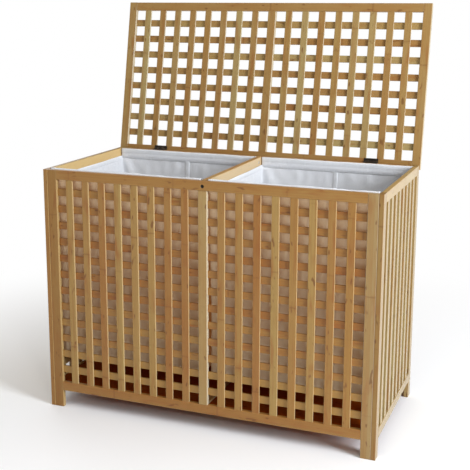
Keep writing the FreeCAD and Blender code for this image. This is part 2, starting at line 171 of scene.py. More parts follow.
# the centre stiles and centre rails are painted paler: painted light from the right and from above
CENTRE_STILE_PAINTED_LIGHT_TINT = (1.12, 1.40, 2.05)
CENTRE_RAIL_PAINTED_LIGHT_TINT = (1.45, 1.72, 2.40)
ROD_TINT = (1.3, 1.45, 1.7)
LID_TINT = (1.07, 1.28, 1.75)
# tints fitted to each member's look under the studio light, so they hold painted light and shade: members on
# the right paler, the front left stile darker where it is shaded
MEMBER_PAINTED_LIGHT_AND_SHADE_TINTS = {
    "front_left_stile": (0.88, 0.86, 0.74),
    "front_right_stile": (1.04, 1.32, 2.05),
    "back_left_stile": PALE_TINT,
    "left_side_front_stile": (0.95, 0.92, 0.84),
    "right_side_front_stile": (0.85, 0.95, 1.05),
    "right_side_top_rail": (1.40, 1.95, 3.20),
}
FRAME_SPREAD = 0.45
CULM_JOINTS = 0.24          # distance between a culm's joints
LAMINATE = 0.0062           # width of one glued strip
FOOT_LOW, FOOT_HIGH = 0.13, 0.19    # the lowest rows turn straw-coloured between these heights


def tinted(colour, tint):
    """A colour times a tint, channel by channel."""
    return tuple(a * b for a, b in zip(colour, tint))


def bamboo(name, grain, seed, cells=None, tint=PLAIN, lid=False,
           spread=1.0, pale=None, foot=0.0, coat=0.25):
    """Lacquered bamboo whose fibres run along one axis.

    cells = (axis, start, pitch, folded) gives every slat of a row its own tone.
    spread is how much those tones differ, and coat is the strength of the lacquer.
    pale is the tone painted on the faces that look left or right, partly the paler inner culm they show and
    partly a painted highlight for the light from the right;
    foot is how straw-coloured the lowest rows are.
    """
    g = Graph(name)
    coordinates = g.node("TexCoord").outputs
    place = coordinates["Object"]
    side_face_highlight_mask = g.math("ABSOLUTE", g.split(coordinates["Normal"])[0])
    if lid:
        place = g.vector("SUBTRACT", place, tuple(PIN))
        turn = g.node("VectorRotate", rotation_type="X_AXIS")
        g.put(turn.inputs["Vector"], place)
        g.put(turn.inputs["Angle"], LID_LEAN)
        place = turn.outputs[0]
    xyz = dict(zip("xyz", g.split(place)))
    if cells:
        axis, start, pitch, folded = cells
        along = g.math("ABSOLUTE", xyz[axis]) if folded else xyz[axis]
        row = g.math("FLOOR", g.math("DIVIDE", g.math("SUBTRACT", along, start), pitch))
    else:
        row = 0.0
    side = g.math("GREATER_THAN", xyz["x"], 0.0)
    across = [axis for axis in "xyz" if axis != grain]
    random_1, random_2, random_3 = g.hashed(g.combine(row, side if cells else 0.0, float(seed)))

    length = g.math("ADD", xyz[grain], g.times(random_1, 7.0))
    v = g.math("ADD", xyz[across[0]], g.times(random_2, 3.0))
    w = xyz[across[1]]

    def drawn_out(along_scale, across_scale, *settings):
        """Noise that is stretched along the fibres."""
        place = g.combine(g.times(length, along_scale), g.times(v, across_scale), g.times(w, across_scale))
        return g.noise(place, 1.0, *settings)

    fibres = drawn_out(14.0, 1500.0, 3.0, 0.6)
    streaks = drawn_out(5.0, 330.0, 2.0, 0.55)
    clouds = drawn_out(6.0, 26.0, 2.0, 0.5)
    patches = drawn_out(13.0, 70.0, 2.0, 0.5, 0.4)
    knots = drawn_out(45.0, 120.0, 1.0)

    # the glued strips that a member is made of
    strip = g.math("DIVIDE", g.math("ADD", v, w), LAMINATE)
    strip_tone = g.hashed(g.combine(g.math("FLOOR", strip), row, float(seed) + 0.25))[0]
    strip_edge = g.math("ABSOLUTE", g.math("SUBTRACT", g.math("FRACT", strip), 0.5))
    glue = g.remap(strip_edge, 0.455, 0.5)

    # the culm's joints: a dark curved line with a paler band beside it
    bend = g.times(g.noise(g.combine(g.times(v, 60.0), w, length), 1.0, 1.0), 0.006)
    phase = g.math("ADD", g.math("ADD", length, bend), g.times(random_3, CULM_JOINTS))
    turns = g.math("DIVIDE", phase, CULM_JOINTS)
    distance = g.math("ABSOLUTE", g.math("SUBTRACT", g.math("FRACT", turns), 0.5))
    strong = g.hashed(g.combine(g.math("FLOOR", turns), row, float(seed) + 0.5))[0]
    line = g.remap(distance, 0.003, 0.011, 1.0, 0.0)
    halo = g.times(g.remap(distance, 0.008, 0.060, 1.0, 0.0), g.remap(patches, 0.35, 0.6))
    line = g.times(line, g.remap(strong, 0.2, 1.0, 0.15, 1.0))

    golden, brown, rust, straw, deep = (tinted(tone, tint) for tone in (GOLDEN, BROWN, RUST, STRAW, DEEP))
    pale = pale or tinted(SIDE_FACE_PAINTED_HIGHLIGHT, tint)
    tone = g.remap(random_1, 0.0, 1.0, 0.5 - 0.5 * spread, 0.5 + 0.5 * spread)
    colour = g.mix(tone, golden, brown)
    colour = g.mix(g.times(g.remap(random_2, 0.45, 0.95), 0.9 * spread), colour, straw)
    colour = g.mix(g.remap(clouds, 0.42, 0.75, 0.0, 0.40), colour, straw)
    colour = g.mix(g.remap(strip_tone, 0.0, 1.0, 0.0, 0.34), colour, brown)
    colour = g.mix(g.remap(strip_tone, 0.75, 1.0, 0.0, 0.30), colour, straw)
    colour = g.mix(g.remap(patches, 0.54, 0.74, 0.0, 0.75), colour, rust)
    colour = g.mix(g.remap(streaks, 0.50, 0.78, 0.0, 0.50), colour, brown)
    colour = g.mix(g.remap(fibres, 0.54, 0.78, 0.0, 0.42), colour, deep)
    colour = g.mix(g.times(halo, g.remap(strong, 0.5, 1.0, 0.0, 0.7)), colour, brown)
    colour = g.mix(g.times(line, 0.42), colour, deep)
    colour = g.mix(g.times(glue, 0.30), colour, deep)
    colour = g.mix(g.remap(knots, 0.68, 0.76, 0.0, 0.75), colour, deep)
    if foot:
        colour = g.mix(g.remap(xyz["z"], FOOT_HIGH, FOOT_LOW, 0.0, foot), colour, straw)
    # painted highlight: faces that look left or right are mixed towards the pale tone, for the light from
    # the right
    colour = g.mix(g.remap(side_face_highlight_mask, 0.5, 0.9, 0.0, 0.80), colour, g.mix(0.22, pale, colour))
    rough = g.remap(g.math("ADD", fibres, streaks), 0.7, 1.4, 0.34, 0.52)
    g.set(Base_Color=colour, Roughness=rough)
    g.set(Specular_IOR_Level=coat, Coat_Weight=coat, Coat_Roughness=0.28)
    height = g.math("ADD", g.times(fibres, 0.35), g.times(halo, 1.2))
    height = g.math("SUBTRACT", height, g.times(line, 0.8))
    height = g.math("SUBTRACT", height, g.times(glue, 0.4))
    g.bump(height, 0.35, 0.0006)
    return g.material


def slat_pitch(low, high, count):
    """Spacing of a row of slats between its outer edges."""
    return (high - low - SLAT_WIDTH) / (count - 1)


def dress(node, material):
    """Gives a CAD node one material all over."""
    nodes[node].data.materials.clear()
    nodes[node].data.materials.append(material)
    for polygon in nodes[node].data.polygons:
        polygon.material_index = 0


def row_cells(node, axis, count, folded=False, lid=False):
    """Start and pitch of a node's slats along an axis, for the material's cells.

    folded rows lie in two bays that mirror each other; a lid's rows run up the leaning lid.
    """
    low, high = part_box(node)
    index = "xyz".index(axis)
    if folded:
        inner = min(abs(v.co[index]) for v in nodes[node].data.vertices)
        pitch = slat_pitch(inner, high[index], count)
        return axis, inner - (pitch - SLAT_WIDTH) / 2, pitch, True
    start, end = low[index], high[index]
    if lid:
        turn = math.cos(LID_LEAN), math.sin(LID_LEAN)
        along = [(v.co[2] - PIN.z) * turn[0] + (v.co[1] - PIN.y) * turn[1]
                 for v in nodes[node].data.vertices]
        start, end = min(along), max(along)
    pitch = slat_pitch(start, end, count)
    return axis, start - (pitch - SLAT_WIDTH) / 2, pitch, False


def dress_case():
    """Most members have a seed of their own, so no two look alike; the two floor boards share one seed, as
    do the liner rods and the two dowel sets.
    """
    seed = 1
    for panel, across in (("front", "x"), ("back", "x"), ("left_side", "y"), ("right_side", "y")):
        folded = across == "x"
        # the side panels get painted light: paler faces that look left or right, and a tint that is partly
        # paler bamboo and partly painted sheen
        pale = None if folded else SIDE_PANEL_PAINTED_LIGHT[panel]
        plain = PLAIN if folded else SIDE_PALE_AND_SHEEN_TINT
        ends = ("left", "right") if folded else ("front", "back")
        for end in ends:
            seed += 1
            name = f"{panel}_{end}_stile"
            tint = MEMBER_PAINTED_LIGHT_AND_SHADE_TINTS.get(name, plain)
            dress(name, bamboo(name, "z", seed, spread=FRAME_SPREAD, tint=tint, pale=pale))
        for rail in ("top_rail", "bottom_rail"):
            seed += 1
            name = f"{panel}_{rail}"
            tint = MEMBER_PAINTED_LIGHT_AND_SHADE_TINTS.get(name, plain)
            dress(name, bamboo(name, across, seed, spread=FRAME_SPREAD, tint=tint, pale=pale))
        name = f"{panel}_upright_slats"
        seed += 1
        spread = 1.0 if folded else 0.5
        cells = row_cells(name, across, SIDE_SLATS, folded)
        dress(name, bamboo(name, "z", seed, cells, spread=spread, tint=plain, pale=pale))
        name = f"{panel}_cross_slats"
        seed += 1
        # the side panels' cross slats get painted shade
        tint = CROSS_TINT if folded else SIDE_CROSS_PAINTED_SHADE
        cells = row_cells(name, "z", CROSS_SLATS)
        dress(name, bamboo(name, across, seed, cells, tint=tint, pale=pale, foot=0.75))
    for panel in ("front", "back"):
        seed += 1
        name = f"{panel}_centre_stile"
        # painted light: the centre stiles are painted paler for the light from the right
        dress(name, bamboo(name, "z", seed, tint=CENTRE_STILE_PAINTED_LIGHT_TINT, spread=0.2))
    for name in ("centre_top_rail", "centre_bottom_rail"):
        seed += 1
        # painted light: the centre rails are painted paler, their side faces most of all
        dress(name, bamboo(name, "y", seed, spread=0.4, tint=CENTRE_RAIL_PAINTED_LIGHT_TINT, pale=CENTRE_RAIL_PAINTED_HIGHLIGHT))
    dress("floor_ledges", bamboo("floor_ledges", "x", 70))
    for side in ("left", "right"):
        # the floor boards are painted dark red-brown: partly their tone, partly painted shade under the
        # liners
        dress(f"floor_board_{side}", bamboo(f"floor_board_{side}", "x", 71, tint=FLOOR_BOARD_TONE_AND_SHADE_TINT, coat=0.0))
        for end in ("front", "back"):
            name = f"liner_rod_{side}_{end}"
            dress(name, bamboo(name, "x", 72, tint=ROD_TINT, spread=0.3))
    for name in ("corner_dowels", "centre_rail_dowels"):
        dress(name, bamboo(name, "x", 73, tint=ROD_TINT))


def dress_lid():
    """The lid's members, whose fibres lean back with it."""
    for seed, name in enumerate(("lid_left_rail", "lid_right_rail", "lid_centre_rail"), 80):
        dress(name, bamboo(name, "z", seed, lid=True, spread=0.4, tint=LID_TINT))
    for seed, name in enumerate(("lid_front_rail", "lid_hinge_rail"), 84):
        dress(name, bamboo(name, "x", seed, lid=True, spread=0.4, tint=LID_TINT))
    name = "lid_long_slats"
    cells = row_cells(name, "x", SIDE_SLATS, True)
    dress(name, bamboo(name, "z", 87, cells, lid=True, tint=LID_TINT))
    name = "lid_cross_slats"
    cells = row_cells(name, "z", LID_CROSS_SLATS, lid=True)
    dress(name, bamboo(name, "x", 88, cells, lid=True, tint=LID_TINT))


# ---------------------------------------------------------------- metal
def dark_metal(name, base, worn, roughness):
    """Dark plated metal with a mottled film and brighter worn patches."""
    g = Graph(name)
    place = g.node("TexCoord").outputs["Object"]
    film = g.noise(place, 420.0, 4.0, 0.6)
    wear = g.noise(place, 90.0, 3.0, 0.65)
    scratch = g.noise(g.vector("MULTIPLY", place, (60.0, 1800.0, 1800.0)), 1.0, 2.0, 0.5)
    colour = g.mix(g.remap(wear, 0.50, 0.72, 0.0, 0.7), base, worn)
    colour = g.mix(g.remap(scratch, 0.60, 0.75, 0.0, 0.45), colour, worn)
    g.set(Base_Color=colour, Metallic=0.85)
    g.set(Roughness=g.remap(film, 0.3, 0.7, roughness - 0.08, roughness + 0.14))
    g.bump(g.math("ADD", film, g.times(scratch, 0.5)), 0.25, 0.0003)
    return g.material


def dress_metal():
    bronze = dark_metal("hinge_bronze", (0.045, 0.034, 0.025), (0.26, 0.205, 0.155), 0.42)
    black = dark_metal("black_oxide", (0.012, 0.011, 0.010), (0.05, 0.045, 0.04), 0.45)
    zinc = dark_metal("zinc", (0.45, 0.45, 0.46), (0.62, 0.62, 0.63), 0.32)
    for side in ("left", "right"):
        for part in ("case_leaf", "lid_leaf", "pin"):
            dress(f"hinge_{side}_{part}", bronze)
    dress("hinge_case_screws", bronze)
    dress("hinge_lid_screws", bronze)
    dress("centre_bolts", black)
    dress("barrel_nuts", zinc)


# ---------------------------------------------------------------- cloth
COTTON_LOW = (0.765, 0.772, 0.79)
COTTON_HIGH = (0.82, 0.826, 0.85)
THREAD_PITCH = 0.0011


def cotton(name, puckers=0.0, tint=PLAIN, glow=0.0):
    """Plain white cotton weave with soft creases, and puckers where it is sewn.

    glow is painted light: an orange emission for daylight through the thin cloth and warm light bounced off
    the wood, most of it high up.
    """
    g = Graph(name)
    place = g.node("TexCoord").outputs["Object"]
    x, y, z = g.split(place)
    threads = 2 * math.pi / THREAD_PITCH
    run = g.math("ADD", x, y)
    warp = g.math("SINE", g.times(run, threads))
    weft = g.math("SINE", g.times(g.math("ADD", z, g.times(y, 0.5)), threads))
    weave = g.times(warp, weft)
    slub = g.noise(g.combine(g.times(run, 700.0), g.times(z, 60.0), y), 1.0, 2.0)
    crease = g.noise(place, 16.0, 4.0, 0.55, 0.6)
    soft = g.noise(place, 5.0, 2.0, 0.5)
    colour = g.mix(g.remap(soft, 0.35, 0.7), tinted(COTTON_LOW, tint), tinted(COTTON_HIGH, tint))
    colour = g.mix(g.remap(slub, 0.55, 0.8, 0.0, 0.25), colour, (0.70, 0.70, 0.72))
    colour = g.mix(g.remap(weave, -0.9, -0.2, 0.16, 0.0), colour, (0.60, 0.60, 0.63))
    g.set(Base_Color=colour, Roughness=0.9, Sheen_Weight=0.25, Sheen_Roughness=0.45)
    g.set(Specular_IOR_Level=0.25)
    if glow:
        # painted glow: orange emission, stronger high up
        painted_glow_colour = g.mix(g.remap(z, 0.10, 0.52), (0.35, 0.12, 0.02), (1.0, 0.34, 0.06))
        g.set(Emission_Color=painted_glow_colour, Emission_Strength=glow)
    height = g.math("ADD", g.times(weave, 0.10), g.times(crease, 2.6))
    height = g.math("ADD", height, g.times(slub, 0.2))
    if puckers:
        gather = g.noise(g.combine(g.times(run, 150.0), g.times(z, 35.0), 0.0), 1.0, 2.0)
        height = g.math("ADD", height, g.times(gather, puckers))
    g.bump(height, 0.6, 0.0016)
    return g.material


def thread(name):
    """Twisted white sewing thread."""
    g = Graph(name)
    place = g.node("TexCoord").outputs["Object"]
    twist = g.noise(g.vector("MULTIPLY", place, (2200.0, 2200.0, 900.0)), 1.0, 2.0)
    g.set(Base_Color=g.mix(twist, (0.62, 0.62, 0.66), (0.84, 0.84, 0.87)), Roughness=0.65)
    g.bump(twist, 0.4, 0.0002)
    return g.material


COTTON = cotton("white_cotton")
# the bag's outside is painted darker and warmer, painted shade and warm bounced light behind the lattice,
# and it glows a little
COTTON_OUTSIDE_PAINTED_SHADE_AND_GLOW = cotton("white_cotton_outside_painted_shade_and_glow", tint=(0.84, 0.70, 0.47), glow=0.11)
COTTON_HEM = cotton("white_cotton_hem", puckers=0.5)
THREAD = thread("white_thread")


# ---------------------------------------------------------------- liners
CELL = 0.0095               # size of the cells of the cloth that is simulated
CLOTH_THICK = 0.0008
TRIM_THICK = 0.0006
SEAM_THICK = 0.0005

# the bag in its space: its CAD solid's sides, and its rods
SIDE_CLEAR = 0.0004
BOTTOM_LIFT = {"left": 0.009, "right": 0.001}
HEM_BELOW_ROD = 0.002
HEM_ABOVE_SOLID = 0.0009
BAND_ABOVE_ROD = 0.0018
FRONT_CREST = 0.0026        # height of a front hem above the rail while the lid is open
WALL_GAP = 0.0022           # how far the front and back walls may lean out past the rods' middles

# its sewn shape, as insets that grow with the depth below the hems
SIDE_TAPER = 0.002
END_TAPER = 0.006
TAPER_DEPTH = 0.36
INNER_BULGE = 0.0035        # towards the other compartment
BULGE_DEPTH = 0.05
OUTER_CORNER = 0.012
OTHER_CORNER = 0.005
CORNER_DEPTH = 0.075
BUCKLE_INSET, BUCKLE_WAVE = 0.0016, 0.0030
BUCKLE_START, BUCKLE_DEPTH = 0.008, 0.08
BOTTOM_ROLL = 0.008
BOTTOM_DIP = 0.002

# how it hangs
HANG_FRAMES = 46
HANG_SHARE = 0.75           # of the simulated move that is kept
OUTER_HOLD, OTHER_HOLD = 0.92, 0.55
CORNER_REACH = 0.045
BOTTOM_HOLD = 0.80
BOTTOM_REACH = 0.16
FOLD_DEPTH = 0.25           # how far below the hem the folds go

# its trim
SEAM_STEPS, HEM_STEPS, BAND_STEPS = 110, 150, 70
SEAM_RELIEF = {"left": 1.0, "right": 0.45}
SEAM_TOP = 0.002            # above the hem's lower edge
SEAM_FOOT = 0.03            # above the bottom
BAND_INSET = 0.002
STITCH_ROWS = (0.0014, 0.0040, 0.0100)
STITCH_INSET = 0.006
STITCH_LENGTH, STITCH_PITCH, STITCH_RADIUS = 0.0028, 0.0040, 0.00034
STITCH_BULGE = ((0.0, 0.35, -0.6), (0.2, 0.9, 0.2), (0.5, 1.0, 0.45), (0.8, 0.9, 0.2), (1.0, 0.35, -0.6))
STITCH_SIDES = 5


def ease(share):
    """Smooth step from 0 to 1."""
    share = min(1.0, max(0.0, share))
    return share * share * (3 - 2 * share)


def smooth(mesh):
    for polygon in mesh.polygons:
        polygon.use_smooth = True


def make_object(name, points, faces, material):
    """A smooth mesh object of one material."""
    mesh = bpy.data.meshes.new(name)
    mesh.from_pydata([tuple(p) for p in points], [], faces)
    mesh.validate()
    mesh.materials.append(material)
    smooth(mesh)
    made = bpy.data.objects.new(name, mesh)
    bpy.context.scene.collection.objects.link(made)
    return made


def apply_modifiers(made):
    """Leaves the piece with the mesh that its modifiers make, and no modifiers."""
    graph = bpy.context.evaluated_depsgraph_get()
    mesh = bpy.data.meshes.new_from_object(made.evaluated_get(graph))
    made.modifiers.clear()
    made.data = mesh
    smooth(mesh)


def thicken(made, thickness, other_side=0):
    """Gives a sheet its thickness; other_side steps the material on its second face."""
    solid = made.modifiers.new("thickness", "SOLIDIFY")
    solid.thickness = thickness
    solid.offset = 0.0
    solid.material_offset = other_side
    apply_modifiers(made)


def rows_of_quads(rows, width, flipped):
    """Faces between neighbouring rows of points, turned over when flipped."""
    faces = []
    for i in range(rows):
        for j in range(width - 1):
            a, b = i * width + j, (i + 1) * width + j
            quad = (a, b, b + 1, a + 1)
            faces.append(quad[::-1] if flipped else quad)
    return faces


class Liner:
    """One hanging bag: four walls and a bottom as one sewn sheet, with hem sleeves on two rods."""

    def __init__(self, side, seed):
        self.side = side
        self.seed = seed
        low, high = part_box(f"liner_{side}")
        rod_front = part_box(f"liner_rod_{side}_front")
        rod_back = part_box(f"liner_rod_{side}_back")
        self.x0, self.x1 = low.x + SIDE_CLEAR, high.x - SIDE_CLEAR
        self.y0 = (rod_front[0].y + rod_front[1].y) / 2
        self.y1 = (rod_back[0].y + rod_back[1].y) / 2
        self.bottom = low.z + BOTTOM_LIFT[side]
        self.hem_low = rod_front[0].z - HEM_BELOW_ROD
        self.hem_top = high.z + HEM_ABOVE_SOLID
        self.rod_half = (rod_front[1].y - rod_front[0].y) / 2
        self.side_top = rod_front[0].z + BAND_ABOVE_ROD
        rng = random.Random(seed)
        self.waves = [(rng.uniform(9, 26), rng.uniform(0, 6.28), rng.uniform(4, 12)) for _ in range(6)]
        self.build()

    def place(self, x, y, z):
        """The bag narrows and its corners round off below its hems; slow waves let it buckle."""
        depth = self.hem_low - z
        waves = sum(math.sin(f * (x - y) + p + h * z) for f, p, h in self.waves) / len(self.waves)
        push = (BUCKLE_INSET + BUCKLE_WAVE * waves) * ease((depth - BUCKLE_START) / BUCKLE_DEPTH)
        inner = (x < (self.x0 + self.x1) / 2) == (self.side == "right")
        in_x = SIDE_TAPER * ease(depth / TAPER_DEPTH) + push * 0.4
        if inner:
            in_x = -INNER_BULGE * ease(depth / BULGE_DEPTH)
        in_y = END_TAPER * ease(depth / TAPER_DEPTH) + push
        half_x, half_y = (self.x1 - self.x0) / 2, (self.y1 - self.y0) / 2
        x -= (self.x0 + self.x1) / 2
        y -= (self.y0 + self.y1) / 2
        x *= 1 - in_x / half_x
        y *= 1 - in_y / half_y
        outer = y < 0 and (x < 0) == (self.side == "left")
        radius = (OUTER_CORNER if outer else OTHER_CORNER) * ease(depth / CORNER_DEPTH)
        over_x, over_y = abs(x) - (half_x - in_x - radius), abs(y) - (half_y - in_y - radius)
        if over_x > 0 and over_y > 0:
            shrink = max(over_x, over_y) / math.hypot(over_x, over_y)
            x = math.copysign(abs(x) - over_x * (1 - shrink), x)
            y = math.copysign(abs(y) - over_y * (1 - shrink), y)
        return x + (self.x0 + self.x1) / 2, y + (self.y0 + self.y1) / 2, z

    def build(self):
        """Sews the bag: rings of points down the walls, then the bottom inside the last ring."""
        nx = round((self.x1 - self.x0) / CELL)
        ny = round((self.y1 - self.y0) / CELL)
        nz = round((self.hem_low - self.bottom) / CELL)
        corners = [(self.x0, self.y0), (self.x1, self.y0), (self.x1, self.y1), (self.x0, self.y1)]
        ring = []
        for start, end, steps in zip(corners, corners[1:] + corners[:1], (nx, ny, nx, ny)):
            for i in range(steps):
                ring.append(tuple(a + (b - a) * i / steps for a, b in zip(start, end)))
        count = len(ring)
        points, faces = [], []
        for k in range(nz + 1):
            z = self.hem_low + (self.bottom - self.hem_low) * k / nz
            for x, y in ring:
                points.append((x, y, z))
        for k in range(nz):
            for i in range(count):
                j = (i + 1) % count
                a, b = k * count, (k + 1) * count
                faces.append((a + i, b + i, b + j, a + j))
        base = nz * count
        inner = {}
        for i in range(1, nx):
            for j in range(1, ny):
                inner[i, j] = len(points)
                x = self.x0 + (self.x1 - self.x0) * i / nx
                y = self.y0 + (self.y1 - self.y0) * j / ny
                points.append((x, y, self.bottom))

        def at(i, j):
            """Index of a point of the bottom; its edge is the walls' last ring."""
            if j == 0:
                return base + i % count
            if i == nx:
                return base + nx + j
            if j == ny:
                return base + nx + ny + (nx - i)
            if i == 0:
                return base + 2 * nx + ny + (ny - j)
            return inner[i, j]

        for i in range(nx):
            for j in range(ny):
                faces.append((at(i, j), at(i, j + 1), at(i + 1, j + 1), at(i + 1, j)))
        self.ring = count
        points = [self.place(*point) for point in points]
        self.body = make_object(f"liner_{self.side}_cloth", points, faces, COTTON_OUTSIDE_PAINTED_SHADE_AND_GLOW)

    def hang(self):
        """Lets the bag hang from its pinned top edge, then eases it back towards its sewn shape.

        The sewn corners and bottom hold their shape, and the outer side's corners most of all.
        """
        sewn = [tuple(vertex.co) for vertex in self.body.data.vertices]
        pinned = self.body.vertex_groups.new(name="pinned")
        pinned.add(list(range(self.ring)), 1.0, "REPLACE")
        cloth = self.body.modifiers.new("hang", "CLOTH")
        settings = cloth.settings
        settings.quality = 6
        settings.mass = 0.25
        settings.tension_stiffness = 22
        settings.compression_stiffness = 22
        settings.shear_stiffness = 8
        settings.bending_stiffness = 0.35
        settings.air_damping = 3.0
        settings.shrink_min = -0.018
        settings.shrink_max = -0.018
        settings.vertex_group_mass = "pinned"
        cloth.collision_settings.use_collision = False
        scene = bpy.context.scene
        cloth.point_cache.frame_start = 1
        cloth.point_cache.frame_end = HANG_FRAMES
        for step in range(1, HANG_FRAMES + 1):
            scene.frame_set(step)
        apply_modifiers(self.body)
        scene.frame_set(1)
        for vertex, (x, y, z) in zip(self.body.data.vertices, sewn):
            corner = max(min(x - self.x0, self.x1 - x), min(y - self.y0, self.y1 - y))
            left = x < (self.x0 + self.x1) / 2
            hold = OUTER_HOLD if left == (self.side == "left") else OTHER_HOLD
            free = 1 - hold * math.exp(-(corner / CORNER_REACH) ** 2)
            free *= HANG_SHARE * (1 - BOTTOM_HOLD * math.exp(-((z - self.bottom) / BOTTOM_REACH) ** 2))
            vertex.co = vertex.co.lerp(Vector((x, y, z)), 1 - free)

    def keep_inside(self):
        """The lattice stops the cloth from bulging out, and the bottom's edge rolls over."""
        low_y, high_y = self.y0 - WALL_GAP, self.y1 + WALL_GAP
        spare = {"low": 0.0008, "high": 0.0008}
        spare["low" if self.side == "right" else "high"] = INNER_BULGE + 0.0005
        for vertex in self.body.data.vertices:
            x, y, z = vertex.co
            x = min(max(x, self.x0 - spare["low"]), self.x1 + spare["high"])
            y = min(max(y, low_y), high_y)
            low = z - self.bottom
            if low < BOTTOM_ROLL:
                rolled = math.exp((low - BOTTOM_ROLL) / BOTTOM_ROLL)
                z = self.bottom - BOTTOM_DIP + (BOTTOM_ROLL + BOTTOM_DIP) * rolled
            vertex.co = (x, y, z)

    def back_folds(self):
        """Tension folds that run down from the hem's ends and its middle on the back wall."""
        rng = random.Random(self.seed + 9)
        folds = []      # each is (start, lean, height, length, width)
        for corner, way in ((self.x0, 1), (self.x1, -1)):
            lean = rng.uniform(0.42, 0.52)
            folds.append((corner + way * 0.004, way * lean, 0.0085, 0.11, 0.0070))
            folds.append((corner + way * 0.034, way * lean * 1.6, 0.0030, 0.08, 0.0080))
        middle = (self.x0 + self.x1) / 2
        for _ in range(3):
            start = middle + rng.uniform(-0.09, 0.09)
            folds.append((start, rng.uniform(-0.9, 0.9), rng.uniform(0.0030, 0.0060), 0.07, 0.0075))
        for vertex in self.body.data.vertices:
            x, y, z = vertex.co
            drop = self.hem_low - z
            if y < self.y1 - 0.03 or not 0.0 < drop < FOLD_DEPTH:
                continue
            for start, lean, height, length, width in folds:
                off = (x - start - lean * drop) / width
                sharp = math.exp(-off * off * (1.0 if off * lean > 0 else 2.4))
                y -= height * ease(drop / 0.012) * math.exp(-(drop / length) ** 2) * sharp
            vertex.co = (x, y, z)

    def finish(self):
        """Rounds the mesh and gives it thickness, with the inside in plain white cotton."""
        subdivision = self.body.modifiers.new("soft", "SUBSURF")
        subdivision.levels = 1
        subdivision.render_levels = 1
        subdivision.boundary_smooth = "PRESERVE_CORNERS"
        apply_modifiers(self.body)
        self.surface = BVHTree.FromObject(self.body, bpy.context.evaluated_depsgraph_get())
        self.body.data.materials.append(COTTON)
        thicken(self.body, CLOTH_THICK, 1)

    def seam(self, end):
        """The upright seam down the middle of an end wall: its allowance is folded to the inside."""
        outward = Vector((0, -1, 0)) if end == "front" else Vector((0, 1, 0))
        mid_x, mid_y = (self.x0 + self.x1) / 2, (self.y0 + self.y1) / 2
        high = SEAM_RELIEF[self.side]
        profile = [(-0.0050, -0.0003), (-0.0048, 0.0010 * high), (-0.0030, 0.0016 * high),
                   (0.0, 0.0013 * high), (0.0026, 0.0017 * high), (0.0046, 0.0014 * high), (0.0052, -0.0003)]
        rng = random.Random(self.seed * 11 + len(end))
        phase = rng.uniform(0, 6.28)
        top, low = self.hem_low + SEAM_TOP, self.bottom + SEAM_FOOT
        points = []
        for i in range(SEAM_STEPS + 1):
            z = top + (low - top) * i / SEAM_STEPS
            drift = 0.0012 * math.sin(9 * z + phase)
            for dx, rise in profile:
                x = mid_x + dx + drift
                at = Vector((x, mid_y, min(z, self.hem_low - 0.001)))
                hit = self.surface.ray_cast(at, outward)[0]
                lump = 0.00025 * math.sin(330 * z + phase) if rise > 0 else 0.0
                points.append((x, hit.y - outward.y * (rise + 0.0004 + lump), z))
        faces = rows_of_quads(SEAM_STEPS, len(profile), outward.y < 0)
        made = make_object(f"liner_{self.side}_seam_{end}", points, faces, COTTON)
        thicken(made, SEAM_THICK)
        return made

    def hem_profile(self, end):
        """Inward distance and height round the sleeve: up the inside, over the rod, down outside."""
        half = self.rod_half + 0.0007
        loose = half + (0.0040 if end == "front" else 0.0010)
        top = self.hem_top - 0.0004
        shoulder = top - half
        rise = top - shoulder + (FRONT_CREST if end == "front" else 0.0)
        low = self.hem_low
        profile = [(0.0, low - 0.0035), (0.0012, low - 0.0030), (half * 0.80, low + 0.0008),
                   (half + 0.0004, low + 0.0035), (half + 0.0006, low + 0.0082), (half, low + 0.0100),
                   (half + 0.0006, low + 0.0118), (loose, shoulder)]
        for step in range(1, 8):
            angle = math.pi * step / 8
            reach = loose if angle < math.pi / 2 else half
            profile.append((reach * math.cos(angle), shoulder + rise * math.sin(angle) ** 0.7))
        return profile + [(-half, shoulder), (-half, (low + shoulder) / 2), (-half * 0.9, low + 0.0050),
                          (-half * 0.5, low + 0.0010), (-0.0010, low - 0.0025), (-0.0012, low - 0.0045)]

    def hem(self, end):
        """The sleeve round a rod, puckered a little by its stitches.

        Its lowest outside faces show through the lattice, so they get the bag's outside cotton, with its
        painted shade and glow.
        """
        y_mid, inward = (self.y0, 1) if end == "front" else (self.y1, -1)
        profile = self.hem_profile(end)
        low, top = self.hem_low, self.hem_top
        rng = random.Random(self.seed * 7 + len(end))
        phases = [rng.uniform(0, 6.28) for _ in range(4)]
        slack = 0.0006 if end == "front" else 0.00025
        points = []
        for i in range(HEM_STEPS + 1):
            x = self.x0 + (self.x1 - self.x0) * i / HEM_STEPS
            wave = math.sin(38 * x + phases[0]) + 0.6 * math.sin(97 * x + phases[1])
            pucker = math.sin(520 * x + phases[2]) * 0.5 + math.sin(830 * x + phases[3]) * 0.5
            for y, z in profile:
                high = (z - low) / (top - low)
                side_way = inward * y
                if 0.05 < high < 0.85:
                    side_way += inward * math.copysign(1, y) * (0.00022 * wave + 0.00018 * pucker)
                if high < 0.3:
                    side_way += 0.00030 * pucker
                drop = slack * (1 + wave / 1.6) if high > 0.9 else 0.0
                points.append((x, y_mid + side_way, z - drop))
        faces = rows_of_quads(HEM_STEPS, len(profile), inward < 0)
        made = make_object(f"liner_{self.side}_hem_{end}", points, faces, COTTON_HEM)
        thicken(made, TRIM_THICK)
        made.data.materials.append(COTTON_OUTSIDE_PAINTED_SHADE_AND_GLOW)
        for polygon in made.data.polygons:
            outside = (polygon.center.y - y_mid) * inward < 0.0005
            # the hem's lowest outside faces get the painted shade and glow of the bag's outside
            polygon.material_index = 1 if outside and polygon.center.z < low + 0.004 else 0
        return made

